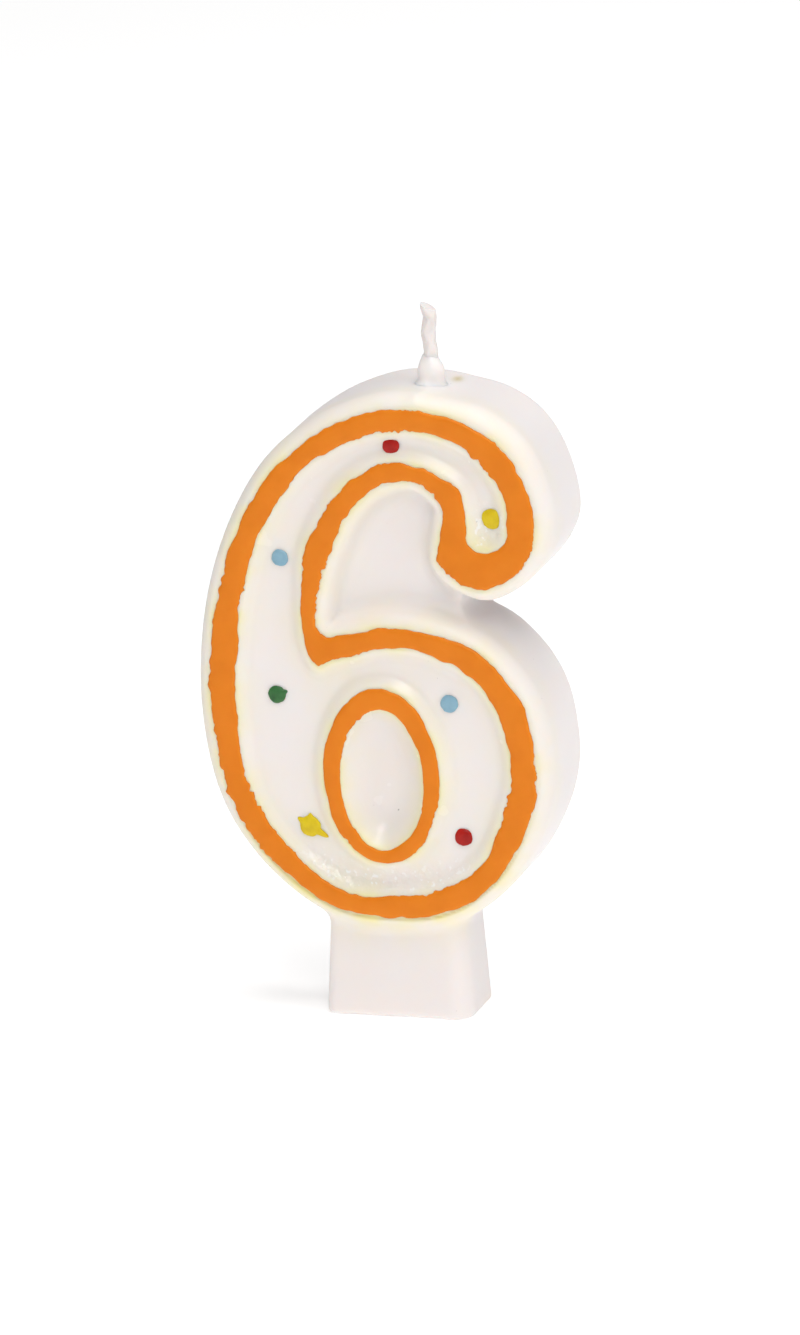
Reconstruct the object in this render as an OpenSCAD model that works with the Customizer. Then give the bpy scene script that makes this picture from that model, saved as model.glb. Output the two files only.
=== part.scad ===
// Number candle in the shape of a six: a cast wax body, a wick, wax lines and wax dots.
// X runs across the digit, Y through its thickness and Z up. The decorated front faces -Y.
// The origin is the centre of the stem's foot. Sizes are in millimetres.

/* [Body] */
// Thickness of the cast body, front rim to back
body_t = 13; // [12:0.5:15]
// Depth of the rounded front shoulder
shoulder_depth = 2.6; // [2:0.1:3.5]
// Depth of the channel in the stroke of the digit
channel_depth = 1; // [0.6:0.1:1.4]
// Depth of the web between the hook and the bowl, below the rim
web_depth = 3.5; // [2:0.1:3.8]
// Depth of the dish inside the counter, below the rim
counter_depth = 2.5; // [1.5:0.1:3.5]

/* [Stem] */
// Width of the stem at its foot
stem_w = 17.6; // [14:0.2:20]
// Thickness of the stem at its foot
stem_t = 11; // [8:0.5:12]
// How much the stem narrows from its foot to the digit
stem_taper = 1.6; // [0:0.1:2]
// Radius of the stem's two left corners
stem_r_left = 1.2; // [0.8:0.1:3]
// Radius of the stem's two right corners
stem_r_right = 2.4; // [0.8:0.1:3]

/* [Wax lines and dots] */
// Height of the orange lines above the rim
line_h = 0.6; // [0.3:0.1:1]
// Height of the coloured dots above the channel floor
dot_h = 0.45; // [0.2:0.05:0.8]

/* [Wick] */
// Diameter of the wick
wick_d = 1.6; // [1.2:0.1:2]
// Distance of the wick from the stem's centre
wick_x = 5; // [4:0.5:6]
// Radius of the wax seal where the wick leaves the body
seal_r = 1.9; // [1.5:0.1:2.2]

/* [Hidden] */

// Height of the top of the arch
top_z = 75.2;
// Height at which the stem is fully inside the digit
stem_top = 15;
// Front rim and back face
rim_y = -body_t / 2;
back_y = body_t / 2;
// Floor of the stroke's channel
floor_y = rim_y + channel_depth;
// The web's back lies this far in front of the digit's back
web_back = 0.4;
// A cut runs this far past the face that it opens
past = 1;

// How deep the counter ridge is rooted below the channel floor
ridge_root = 0.5;
// Height of the straight piece at each end of the stem
slice = 0.4;
// The wick stops this far above the foot, so that the candle stands on its wax
wick_foot = 0.2;
// The wick is straight and the seal grips it up to this height
grip_z = 77;
// Top of the seal, and how far it stands off the bending wick there
seal_top = 78.6;
seal_gap = 0.1;
// Steps of the channel: [share of its depth, distance in from the line]
CHANNEL_STEPS = [[0.5, 0], [1, 0.7]];
// Steps of the dish: [share of its depth, distance in from the line]
DISH_STEPS = [[0.55, 0.3], [0.8, 1.1], [1, 2]];
// Foot and top of the stem: [height, how much slimmer it is]
STEM_ENDS = [[0, 0], [stem_top, stem_taper]];
// Left and right side of the stem: [direction, corner radius]
STEM_SIDES = [[-1, stem_r_left], [1, stem_r_right]];

// The line around the stroke, anticlockwise from the bottom of the bowl. Each rung crosses
// it: [outer x, outer z, inner x, inner z, shoulder]. The shoulder is how far the body
// stands out beyond the line. It narrows in the sharp corner between hook and bowl.
even = 1.7;
wide = 2.1;
STROKE = [
    [0, 12.5, 0, 15, even],
    [7, 13.5, 6, 16, even],
    [13, 18, 11, 19.5, even],
    [17, 25, 14, 26, even],
    [18, 31.5, 15, 31.5, even],
    [16.5, 39, 13.5, 38, even],
    [12, 44.5, 10.5, 42, even],
    [6, 47, 5.5, 44.5, even],
    [0.5, 47.5, 0.5, 45, even],
    [-4, 46.5, -3.5, 44, 1.4],
    [-6.5, 46, -6.5, 43, 0.8],
    [-7.8, 46.8, -8.2, 42.5, 0.4],
    [-8, 48.5, -9.5, 46, 0.8],
    [-7.5, 51.5, -9.5, 51, 1.4],
    [-6.5, 55, -9, 56, even],
    [-3.5, 61, -5.5, 62.5, even],
    [0.5, 64.5, -0.5, 66.5, even],
    [4.5, 65, 4.5, 67, even],
    [7.5, 62.5, 9.5, 64.5, even],
    [7.5, 59.5, 10.5, 61, even],
    [7, 56.5, 10.5, 58.5, even],
    [7.3, 55, 11, 57.5, even],
    [9, 53.5, 12, 57, even],
    [12.5, 52.5, 13.5, 57, even],
    [16.5, 55, 15, 58, even],
    [18.5, 59, 15.5, 60, wide],
    [18, 64, 15, 63.5, wide],
    [15.5, 69, 13, 67, wide],
    [11, 72, 10, 69.5, wide],
    [5, 73.5, 5, 71, even],
    [-1, 73, -0.5, 70.5, even],
    [-7.5, 70, -6, 68, even],
    [-13.5, 64.5, -11.5, 63, even],
    [-18, 56, -15.5, 55, even],
    [-20.5, 46.5, -17.5, 46, even],
    [-21, 36, -18, 36, even],
    [-19, 26, -16.5, 27, even],
    [-14, 18.5, -12, 20, even],
    [-7, 13.5, -6, 15.5, even]
];
stroke_steps = 4;

// The oval line around the counter: centre, half sizes, mean width and extra width on top.
// It gets rungs of the same form.
counter_at = [-0.7, 29.5];
counter_a = 7;
counter_b = 10.5;
counter_line = 2;
counter_line_extra = 0.4;
counter_points = 60;

// The web that fills the gap between the hook and the bowl, with its notch on the right
WEB = [
    [-9, 44], [10, 44], [10, 46.5], [8.5, 49], [9.5, 52.5], [10, 55],
    [8, 56], [8, 64], [3, 67], [-4, 64], [-9, 52]
];

// Rings of the body from back to front: [depth behind the rim, share of the shoulder]
back_round = 1;
PROFILE = [
    [body_t, 0.5],
    [body_t - back_round * 0.3, 0.82],
    [body_t - back_round, 1],
    [shoulder_depth, 1],
    [1, 0.82],
    [0.3, 0.5],
    [0, 0.1],
    [-past, 0.1]
];

// What is cut away in front of the rim, so that the rim is one flat face
FRONT = [[-40, -10], [40, -10], [40, 90], [-40, 90]];

// Cross-section of a line: [share of its width, share of its height]
SECTION = [[0, 0], [0.1, 0.6], [0.28, 0.93], [0.5, 1], [0.72, 0.93], [0.9, 0.6], [1, 0]];

// The wick above the body: [x, y, z, radius, slant of the end]
wick_r = wick_d / 2;
wick_straight = 74;
WICK = [
    [wick_x, 0, wick_straight, wick_r, 0],
    [wick_x, 0, grip_z, wick_r, 0],
    [wick_x + 0.1, 0, 79, wick_r, 0],
    [wick_x - 0.2, 0.1, 81.3, wick_r + 0.1, 0],
    [wick_x + 0.1, 0.1, 83, wick_r, 0],
    [wick_x + 0.3, 0, 84.2, wick_r, 0.5]
];
wick_sides = 12;
wick_steps = 3;

// The wax seal around the wick: a socket in the body, then [radius, z] up its side
seal_floor = 74.4;
SEAL = [
    [seal_r, seal_floor], [seal_r, top_z], [seal_r - 0.3, 76], [seal_r - 0.35, grip_z],
    [seal_r - 0.5, 77.8], [seal_r - 0.9, seal_top]
];

// The dots on the channel floor: [node, x, z, radius, colour]
DOTS = [
    ["red_dot_top", 1.6, 69, 1, "firebrick"],
    ["yellow_dot_hook", 13.3, 60.8, 1.2, "gold"],
    ["blue_dot_left", -12.3, 55, 1, "skyblue"],
    ["green_dot_left", -13.3, 38.5, 1.05, "seagreen"],
    ["yellow_dot_low", -9.8, 22.8, 1.25, "gold"],
    ["blue_dot_right", 7.5, 38.4, 1.05, "skyblue"],
    ["red_dot_low", 8.7, 22.4, 1.05, "firebrick"]
];

// Closed and open smooth curves through knots of any number of fields
function wrap(list, i) = list[(i + len(list)) % len(list)];
function held(list, i) = list[max(0, min(len(list) - 1, i))];
function cubic(a, b, c, d, t) =
    (2 * b + (c - a) * t + (2 * a - 5 * b + 4 * c - d) * pow(t, 2)
        + (3 * b - a - 3 * c + d) * pow(t, 3)) / 2;
function closed_curve(knots, steps) = [
    for (i = [0 : len(knots) - 1], s = [0 : steps - 1])
        cubic(wrap(knots, i - 1), knots[i], wrap(knots, i + 1), wrap(knots, i + 2), s / steps)
];
function open_curve(knots, steps) = [
    for (i = [0 : len(knots) - 2], s = [0 : steps - 1])
        cubic(held(knots, i - 1), knots[i], held(knots, i + 1), held(knots, i + 2), s / steps),
    knots[len(knots) - 1]
];

// Outward normal of an anticlockwise loop of rungs, along its outer edge
function outward(loop, i) =
    let (d = wrap(loop, i + 1) - wrap(loop, i - 1), n = [d[1], -d[0]])
    n / norm(n);
// The loop's body outline, at a share of the shoulder
function shoulder(loop, share) = [
    for (i = [0 : len(loop) - 1])
        [loop[i][0], loop[i][1]] + outward(loop, i) * share * loop[i][4]
];
// The outline at a share of each rung, then moved further along it
function across(loop, share, further = 0) = [
    for (p = loop)
        let (edge = [p[0], p[1]], rung = [p[2], p[3]] - edge)
        edge + rung * (share + further / norm(rung))
];

// The two decorated loops
stroke_loop = closed_curve(STROKE, stroke_steps);
counter_loop = [
    for (i = [0 : counter_points - 1])
        let (
            a = 360 * i / counter_points,
            w = counter_line + counter_line_extra * sin(a)
        )
        [
            counter_at[0] + counter_a * cos(a),
            counter_at[1] + counter_b * sin(a),
            counter_at[0] + (counter_a - w) * cos(a),
            counter_at[1] + (counter_b - w) * sin(a),
            0
        ]
];

// Skin through rings of equal length, each a list of [x, y, z]. Two flat ends close it, or
// the last ring joins the first when it is looped.
module skin(rings, looped = false) {
    n = len(rings[0]);
    total = len(rings) * n;
    spans = looped ? len(rings) : len(rings) - 1;
    walls = [
        for (r = [0 : spans - 1], i = [0 : n - 1])
            let (a = r * n + i, b = r * n + (i + 1) % n)
            [a, (a + n) % total, (b + n) % total, b]
    ];
    ends = looped ? [] : [[for (i = [0 : n - 1]) i], [for (i = [n - 1 : -1 : 0]) total - n + i]];
    polyhedron([for (ring = rings, p = ring) p], concat(walls, ends), convexity = 10);
}

// A flat outline in X and Z, standing between two depths
module plate(outline, front, back) {
    translate([0, back, 0])
        rotate([90, 0, 0])
            linear_extrude(back - front, convexity = 10)
                polygon(outline);
}

// The solid digit with its rounded shoulder and no recess
module digit() {
    skin([
        for (step = PROFILE)
            [for (p = shoulder(stroke_loop, step[1])) [p[0], rim_y + step[0], p[1]]]
    ]);
}

// The tapering stem, its top buried in the bowl
module stem() {
    hull()
        for (end = STEM_ENDS, side = STEM_SIDES, sy = [-1, 1])
            translate([
                side[0] * ((stem_w - end[1]) / 2 - side[1]),
                sy * ((stem_t - end[1]) / 2 - side[1]),
                end[0]
            ])
                cylinder(r = side[1], h = slice, $fn = 24);
}

// The stroke's channel, in two steps; it runs on across the counter
module channel() {
    for (step = CHANNEL_STEPS)
        plate(across(stroke_loop, 1, step[1]), rim_y - past - step[1], rim_y + channel_depth * step[0]);
}

// The dish inside the counter, in steps that stay clear of the ridge round it
module counter_dish() {
    for (step = DISH_STEPS)
        plate(across(counter_loop, 1, step[1]), rim_y - past - step[1], rim_y + counter_depth * step[0]);
}

// The ridge that stands in the channel and carries the counter's line
module counter_ridge() {
    difference() {
        plate(across(counter_loop, 0, 0), rim_y, rim_y + channel_depth + ridge_root);
        plate(across(counter_loop, 1, 0), rim_y - past, rim_y + channel_depth + ridge_root + past);
    }
}

module wax_body() {
    color("snow")
        union() {
            difference() {
                union() {
                    digit();
                    plate(WEB, rim_y + web_depth, back_y - web_back);
                    stem();
                }
                plate(FRONT, rim_y - 2 * past, rim_y);
                channel();
                counter_dish();
                translate([wick_x, 0, -past])
                    cylinder(d = wick_d, h = top_z + 2 * past, $fn = 48);
                translate([wick_x, 0, seal_floor])
                    cylinder(r = seal_r, h = 2 * past, $fn = 48);
            }
            counter_ridge();
        }
}

module wick() {
    curve = open_curve(WICK, wick_steps);
    color("ivory") {
        translate([wick_x, 0, wick_foot])
            cylinder(d = wick_d, h = wick_straight - wick_foot, $fn = 48);
        skin([
            for (c = curve)
                [
                    for (k = [0 : wick_sides - 1])
                        let (a = 360 * k / wick_sides)
                        [c[0] + c[3] * cos(a), c[1] + c[3] * sin(a), c[2] - c[4] * cos(a)]
                ]
        ]);
    }
}

module wick_seal() {
    color("snow")
        translate([wick_x, 0, 0])
            rotate_extrude($fn = 48)
                polygon(concat(
                    [[wick_r + seal_gap, seal_top], [wick_r, grip_z], [wick_r, seal_floor]],
                    SEAL
                ));
}

// A wax line laid along the rim, with a flat underside and a rounded top
module wax_line(loop) {
    color("darkorange")
        skin(
            [
                for (s = SECTION)
                    [for (p = across(loop, s[0])) [p[0], rim_y - line_h * s[1], p[1]]]
            ],
            looped = true
        );
}

module digit_outline() {
    wax_line(stroke_loop);
}

module counter_outline() {
    wax_line(counter_loop);
}

// A drop of wax on the channel floor, its dome facing the front
module wax_dot(dot) {
    color(dot[4])
        translate([dot[1], floor_y, dot[2]])
            rotate([90, 0, 0])
                rotate_extrude($fn = 32)
                    polygon([[0, 0], for (a = [0 : 15 : 90]) [dot[3] * cos(a), dot_h * sin(a)]]);
}

wax_body();
wick();
wick_seal();
digit_outline();
counter_outline();
for (dot = DOTS)
    wax_dot(dot);
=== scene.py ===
"""A cast wax candle in the shape of a six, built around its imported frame.

Lengths inside the classes are in millimetres and turn into metres where a mesh is made.
"""

import logging
import math
from dataclasses import dataclass, field
from enum import Enum
from typing import Callable, Iterable

import bmesh
import bpy
import numpy as np
from mathutils import Matrix, Vector
from mathutils.kdtree import KDTree


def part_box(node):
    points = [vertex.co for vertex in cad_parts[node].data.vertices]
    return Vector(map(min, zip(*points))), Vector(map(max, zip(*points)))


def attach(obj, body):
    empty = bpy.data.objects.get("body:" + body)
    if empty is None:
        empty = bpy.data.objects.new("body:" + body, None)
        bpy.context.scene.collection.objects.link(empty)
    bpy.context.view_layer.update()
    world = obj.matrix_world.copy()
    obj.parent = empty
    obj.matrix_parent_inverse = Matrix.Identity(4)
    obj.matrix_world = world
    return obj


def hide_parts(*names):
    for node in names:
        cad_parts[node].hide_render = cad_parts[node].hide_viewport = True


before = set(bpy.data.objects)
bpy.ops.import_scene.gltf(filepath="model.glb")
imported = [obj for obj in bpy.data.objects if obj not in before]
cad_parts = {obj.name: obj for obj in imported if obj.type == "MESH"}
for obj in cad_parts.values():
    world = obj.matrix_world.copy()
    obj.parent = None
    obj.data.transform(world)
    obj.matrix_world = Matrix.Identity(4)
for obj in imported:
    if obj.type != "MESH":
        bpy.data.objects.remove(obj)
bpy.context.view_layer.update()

MM = 0.001
BODY = "root"
LOG = logging.getLogger("candle")

Colour = tuple[float, float, float]
Field = Callable[[np.ndarray, np.ndarray, np.ndarray], np.ndarray]


# ---------------------------------------------------------------- node trees


class Value:
    """A number socket of a node tree, extended by plain Python expressions."""

    def __init__(self, maker: "NodeMaker", socket: bpy.types.NodeSocket) -> None:
        """Wraps an output socket of a maker's tree."""
        self.maker = maker
        self.socket = socket

    def _with(self, operation: str, *terms: "Value | float") -> "Value":
        """Adds a Math node.

        Args:
            operation: The Math node's operation.
            terms: Its inputs, in order.

        Returns:
            The node's result.
        """
        return self.maker.number("ShaderNodeMath", {"operation": operation}, dict(enumerate(terms)))

    def __add__(self, other: "Value | float") -> "Value":
        """Sum."""
        return self._with("ADD", self, other)

    __radd__ = __add__

    def __sub__(self, other: "Value | float") -> "Value":
        """Difference."""
        return self._with("SUBTRACT", self, other)

    def __rsub__(self, other: float) -> "Value":
        """Difference from a plain number."""
        return self._with("SUBTRACT", other, self)

    def __mul__(self, other: "Value | float") -> "Value":
        """Product."""
        return self._with("MULTIPLY", self, other)

    __rmul__ = __mul__

    def __pow__(self, other: float) -> "Value":
        """Power."""
        return self._with("POWER", self, other)

    def size(self) -> "Value":
        """Absolute value."""
        return self._with("ABSOLUTE", self)

    def least(self, other: "Value | float") -> "Value":
        """The smaller of the two."""
        return self._with("MINIMUM", self, other)

    def most(self, other: "Value | float") -> "Value":
        """The larger of the two."""
        return self._with("MAXIMUM", self, other)

    def cosine(self) -> "Value":
        """Cosine of an angle in radians."""
        return self._with("COSINE", self)

    def step(self, low: float, high: float) -> "Value":
        """Rises smoothly from 0 at low to 1 at high.

        Args:
            low: Where the result is 0.
            high: Where the result is 1.

        Returns:
            The eased value.
        """
        return self.maker.number("ShaderNodeMapRange", {"interpolation_type": "SMOOTHSTEP"}, {0: self, 1: low, 2: high})


class NodeMaker:
    """Adds and links the nodes of one material or geometry tree."""

    def __init__(self, tree: bpy.types.NodeTree) -> None:
        """Starts from the tree's present nodes."""
        self.tree = tree

    def add(self, kind: str, settings: dict | None = None, values: dict | None = None) -> bpy.types.Node:
        """Adds a node.

        Args:
            kind: The node's type.
            settings: Its properties, which are set first.
            values: What its input sockets hold or are linked to, by name or number.

        Returns:
            The new node.
        """
        node = self.tree.nodes.new(kind)
        for name, value in (settings or {}).items():
            setattr(node, name, value)
        for key, value in (values or {}).items():
            self.feed(node.inputs[key], value)
        return node

    def feed(self, socket: bpy.types.NodeSocket, value: object) -> None:
        """Links a socket to another one, or sets the value that it holds.

        Args:
            socket: The input socket.
            value: A Value, an output socket or a plain value.
        """
        if isinstance(value, Value):
            value = value.socket
        if isinstance(value, bpy.types.NodeSocket):
            self.tree.links.new(value, socket)
        else:
            socket.default_value = value

    def number(self, kind: str, settings: dict | None = None, values: dict | None = None, out: int | str = 0) -> Value:
        """Adds a node as add() does, and returns one of its outputs as a Value."""
        return Value(self, self.add(kind, settings, values).outputs[out])

    def attribute(self, name: str) -> Value:
        """A number that the mesh holds at its points, for a material."""
        return self.number("ShaderNodeAttribute", {"attribute_name": name}, out="Fac")

    def noise(self, place: bpy.types.NodeSocket, grain: float, detail: float = 2.0, seed: float = 0.0) -> Value:
        """Seeded noise from 0 to 1.

        Args:
            place: The coordinates, in metres.
            grain: The size of its features, in millimetres.
            detail: How many finer layers it has.
            seed: Which noise it is.

        Returns:
            The noise.
        """
        values = {"Vector": place, "W": seed, "Scale": 1 / (grain * MM), "Detail": detail}
        return self.number("ShaderNodeTexNoise", {"noise_dimensions": "4D"}, values)

    def blend(self, factor: Value, first: object, second: object) -> bpy.types.NodeSocket:
        """A colour between two others.

        Args:
            factor: 0 for the first and 1 for the second.
            first: A colour or a colour socket.
            second: A colour or a colour socket.

        Returns:
            The mixed colour's socket.
        """
        colours = [c if isinstance(c, bpy.types.NodeSocket) else (*c, 1.0) for c in (first, second)]
        node = self.add("ShaderNodeMix", {"data_type": "RGBA"}, {0: factor, 6: colours[0], 7: colours[1]})
        return node.outputs[2]

    def vector(self, operation: str, *terms: object) -> bpy.types.NodeSocket:
        """A Vector Math node.

        Args:
            operation: The node's operation.
            terms: Its inputs, in order. SCALE takes a vector and a number.

        Returns:
            The resulting vector's socket.
        """
        keys = (0, 3) if operation == "SCALE" else (0, 1)
        return self.add("ShaderNodeVectorMath", {"operation": operation}, dict(zip(keys, terms))).outputs[0]

    def measure(self, operation: str, *terms: object) -> Value:
        """A Vector Math node that gives a number."""
        return self.number("ShaderNodeVectorMath", {"operation": operation}, dict(enumerate(terms)), "Value")

    def parts(self, vector: bpy.types.NodeSocket) -> tuple[Value, Value, Value]:
        """A vector's X, Y and Z."""
        node = self.add("ShaderNodeSeparateXYZ", values={0: vector})
        return tuple(Value(self, out) for out in node.outputs)

    def joined(self, *parts: object) -> bpy.types.NodeSocket:
        """A vector made of X, Y and Z."""
        return self.add("ShaderNodeCombineXYZ", values=dict(enumerate(parts))).outputs[0]

    def given(self, numbers: Iterable[str], finish: str) -> dict[str, object]:
        """Gives a geometry tree its sockets.

        Args:
            numbers: Names of its number inputs.
            finish: Name of its material input.

        Returns:
            The inputs: the numbers as Values, the geometry and the material as sockets.
        """
        face = self.tree.interface
        face.new_socket("Geometry", in_out="OUTPUT", socket_type="NodeSocketGeometry")
        face.new_socket("Geometry", in_out="INPUT", socket_type="NodeSocketGeometry")
        for name in numbers:
            face.new_socket(name, in_out="INPUT", socket_type="NodeSocketFloat")
        face.new_socket(finish, in_out="INPUT", socket_type="NodeSocketMaterial")
        sockets = self.add("NodeGroupInput").outputs
        return {s.name: Value(self, s) if s.name in numbers else s for s in sockets if s.name}

    def store(self, shape: object, name: str, value: object, kind: str = "FLOAT_VECTOR") -> bpy.types.NodeSocket:
        """Stores a named attribute at a geometry's points."""
        values = {"Geometry": shape, "Name": name, "Value": value}
        return self.add("GeometryNodeStoreNamedAttribute", {"data_type": kind, "domain": "POINT"}, values).outputs[0]

    def named(self, name: str, kind: str = "FLOAT_VECTOR") -> bpy.types.NodeSocket:
        """A named attribute, for a geometry tree."""
        return self.add("GeometryNodeInputNamedAttribute", {"data_type": kind}, {"Name": name}).outputs[0]

    def tube(self, line: object, here: object, sides: int, capped: bool) -> bpy.types.NodeSocket:
        """A tube along a mesh line, whose points remember the line as middle and the circle as section.

        Args:
            line: The mesh line's socket.
            here: The position's socket.
            sides: How many sides it has.
            capped: Whether its ends are closed.

        Returns:
            The tube's geometry.
        """
        path = self.store(self.add("GeometryNodeMeshToCurve", values={"Mesh": line}).outputs[0], "middle", here)
        ring = self.add("GeometryNodeCurvePrimitiveCircle", values={"Resolution": sides, "Radius": 1.0}).outputs[0]
        values = {"Curve": path, "Profile Curve": self.store(ring, "section", here), "Fill Caps": capped}
        return self.add("GeometryNodeCurveToMesh", values=values).outputs[0]

    def end(self, shape: object, spot: object, finish: object) -> None:
        """Moves a shape's points, makes its instances real, gives it its material and puts it out.

        Args:
            shape: The geometry.
            spot: Where its points go.
            finish: The material's socket.
        """
        shape = self.add("GeometryNodeSetPosition", values={"Geometry": shape, "Position": spot}).outputs[0]
        shape = self.add("GeometryNodeRealizeInstances", values={0: shape}).outputs[0]
        shape = self.add("GeometryNodeSetMaterial", values={"Geometry": shape, "Material": finish}).outputs[0]
        self.add("NodeGroupOutput", values={0: shape})


# ---------------------------------------------------------------- finishes


@dataclass(frozen=True)
class Finish:
    """What every finish shares.

    Attributes:
        slot: The record's material slot.
        colour: The main colour, linear.
        roughness: The mean roughness.
        scatter: How far light spreads inside, in millimetres, or 0.
        ior: The refractive index, which sets how much the surface shines.
        glow: Brightness of the finish's own light.
    """

    slot: str
    colour: Colour
    roughness: float = 0.4
    scatter: float = 0.0
    ior: float = 1.44
    glow: float = 0.0

    def start(self) -> tuple[bpy.types.Material, NodeMaker, bpy.types.Node, bpy.types.NodeSocket]:
        """An empty material with its constants set.

        Returns:
            The material, its node maker, its shader and its Object coordinates.
        """
        material = bpy.data.materials.new(f"{self.slot}_finish")
        material.use_nodes = True
        material.node_tree.nodes.clear()
        maker = NodeMaker(material.node_tree)
        values = {"Base Color": (*self.colour, 1.0), "Roughness": self.roughness, "IOR": self.ior}
        if self.scatter:
            values |= {
                "Subsurface Weight": 0.6,
                "Subsurface Radius": (1.0, 0.75, 0.6),
                "Subsurface Scale": self.scatter * MM,
            }
        if self.glow:
            values |= {"Emission Color": (1.0, 1.0, 1.0, 1.0), "Emission Strength": self.glow}
        shader = maker.add("ShaderNodeBsdfPrincipled", values=values)
        maker.add("ShaderNodeOutputMaterial", values={"Surface": shader.outputs[0]})
        place = maker.add("ShaderNodeTexCoord").outputs["Object"]
        return material, maker, shader, place

    def bump(self, maker: NodeMaker, shader: bpy.types.Node, height: Value, depth: float) -> None:
        """Gives the shader a bumpy surface.

        Args:
            maker: The material's node maker.
            shader: The shader.
            height: The relief, from 0 to 1.
            depth: The relief's height in millimetres.
        """
        values = {"Strength": 1.0, "Distance": depth * MM, "Height": height}
        maker.feed(shader.inputs["Normal"], maker.add("ShaderNodeBump", values=values).outputs[0])


@dataclass(frozen=True)
class CastWax(Finish):
    """The body's white wax, tinted by the dye that creeps out of the lines.

    Attributes:
        warm: The wax's second, warmer white.
        dyed: The colour beside a line.
        stained: The colour of the small stain by the seal.
        speck: The colour of the dust in the wax.
    """

    warm: Colour = (0.86, 0.80, 0.775)
    dyed: Colour = (0.89, 0.81, 0.40)
    stained: Colour = (0.52, 0.42, 0.10)
    speck: Colour = (0.25, 0.20, 0.18)

    def material(self) -> bpy.types.Material:
        """Builds the material.

        Returns:
            The finished material.
        """
        material, maker, shader, place = self.start()
        cloud = maker.noise(place, 9, 3, 1.0)
        colour = maker.blend(cloud.step(0.35, 0.7), self.colour, self.warm)
        creep = maker.attribute("dye") * (maker.noise(place, 5, 3, 2.0).step(0.36, 0.64) * 0.75 + 0.4)
        colour = maker.blend(creep.least(1.0), colour, self.dyed)
        colour = maker.blend(maker.attribute("stain"), colour, self.stained)
        dust = maker.noise(place, 0.55, 1, 3.0).step(0.79, 0.84)
        colour = maker.blend(dust * 0.55, colour, self.speck)
        crinkle_and_glint = maker.attribute("crinkle_and_glint")
        # Painted highlight: white specks mixed into the base colour on the crinkled skin stand in for glints.
        painted_glint = maker.noise(place, 0.6, 1, 8.0).step(0.6, 0.68) * crinkle_and_glint
        colour = maker.blend(painted_glint * 0.5, colour, (1.0, 1.0, 1.0))
        maker.feed(shader.inputs["Base Color"], colour)
        patch = maker.noise(place, 5, 2, 4.0)
        matt = (1 - maker.attribute("polish")) * 0.2
        maker.feed(shader.inputs["Roughness"], patch * 0.22 + (self.roughness - 0.09) + matt - crinkle_and_glint * 0.12)
        relief = maker.noise(place, 6, 2, 5.0) * 0.2 + maker.noise(place, 1.2, 1, 6.0) * 0.006
        relief = relief + crinkle_and_glint * maker.noise(place, 0.9, 2, 7.0) * 1.5
        self.bump(maker, shader, relief, 0.22)
        return material


@dataclass(frozen=True)
class DyedWax(Finish):
    """Coloured wax, piped or dropped.

    Attributes:
        deep: The colour where the wax lies thicker.
        grain: Size of the colour's patches, in millimetres.
    """

    deep: Colour = (0.0, 0.0, 0.0)
    grain: float = 3.0

    def material(self) -> bpy.types.Material:
        """Builds the material.

        Returns:
            The finished material.
        """
        material, maker, shader, place = self.start()
        patch = maker.noise(place, self.grain, 3, 1.0)
        maker.feed(shader.inputs["Base Color"], maker.blend(patch.step(0.3, 0.75), self.colour, self.deep))
        maker.feed(shader.inputs["Roughness"], maker.noise(place, 2, 2, 2.0) * 0.25 + (self.roughness - 0.12))
        relief = maker.noise(place, 1.6, 2, 3.0) * 0.8 + maker.noise(place, 0.3, 1, 4.0) * 0.2
        self.bump(maker, shader, relief, 0.08)
        return material


@dataclass(frozen=True)
class WaxedCotton(Finish):
    """Braided cotton soaked in wax.

    Attributes:
        thread: The colour of the threads where the wax is thin.
    """

    thread: Colour = (0.81, 0.76, 0.74)

    def material(self) -> bpy.types.Material:
        """Builds the material.

        Returns:
            The finished material.
        """
        material, maker, shader, place = self.start()
        coat = maker.noise(place, 1.4, 2, 1.0).step(0.35, 0.65)
        maker.feed(shader.inputs["Base Color"], maker.blend(coat, self.thread, self.colour))
        maker.feed(shader.inputs["Roughness"], (1 - coat) * 0.3 + self.roughness)
        ply = maker.attribute("ply")
        fibre = maker.noise(maker.vector("MULTIPLY", place, (1, 1, 0.25)), 0.14, 2, 2.0)
        self.bump(maker, shader, ply * 0.7 + fibre * (1 - coat * 0.6) * 0.5, 0.12)
        return material


@dataclass(frozen=True)
class Backdrop(Finish):
    """The pale floor's matt white."""

    def material(self) -> bpy.types.Material:
        """Builds the material.

        Returns:
            The finished material.
        """
        material, maker, shader, place = self.start()
        tone = maker.noise(place, 400, 2, 1.0) * 0.02 + 0.97
        maker.feed(shader.inputs["Base Color"], maker.vector("SCALE", (*self.colour,), tone))
        return material


# ---------------------------------------------------------------- meshes


def as_object(name: str, mesh: bpy.types.Mesh) -> bpy.types.Object:
    """Puts a mesh into the scene.

    Args:
        name: The piece's name.
        mesh: Its mesh, in metres and in place.

    Returns:
        The new object, at the origin.
    """
    piece = bpy.data.objects.new(name, mesh)
    bpy.context.scene.collection.objects.link(piece)
    return piece


def mesh_from(name: str, points: np.ndarray, faces: Iterable = (), edges: Iterable = ()) -> bpy.types.Mesh:
    """Makes a mesh from millimetre points.

    Args:
        name: The mesh's name.
        points: One row of X, Y and Z for each point.
        faces: Point numbers of each face.
        edges: Point numbers of each loose edge.

    Returns:
        The mesh, in metres, smooth shaded.
    """
    mesh = bpy.data.meshes.new(name)
    faces = faces.tolist() if isinstance(faces, np.ndarray) else list(faces)
    mesh.from_pydata((np.asarray(points) * MM).tolist(), list(edges), faces)
    mesh.shade_smooth()
    return mesh


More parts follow.
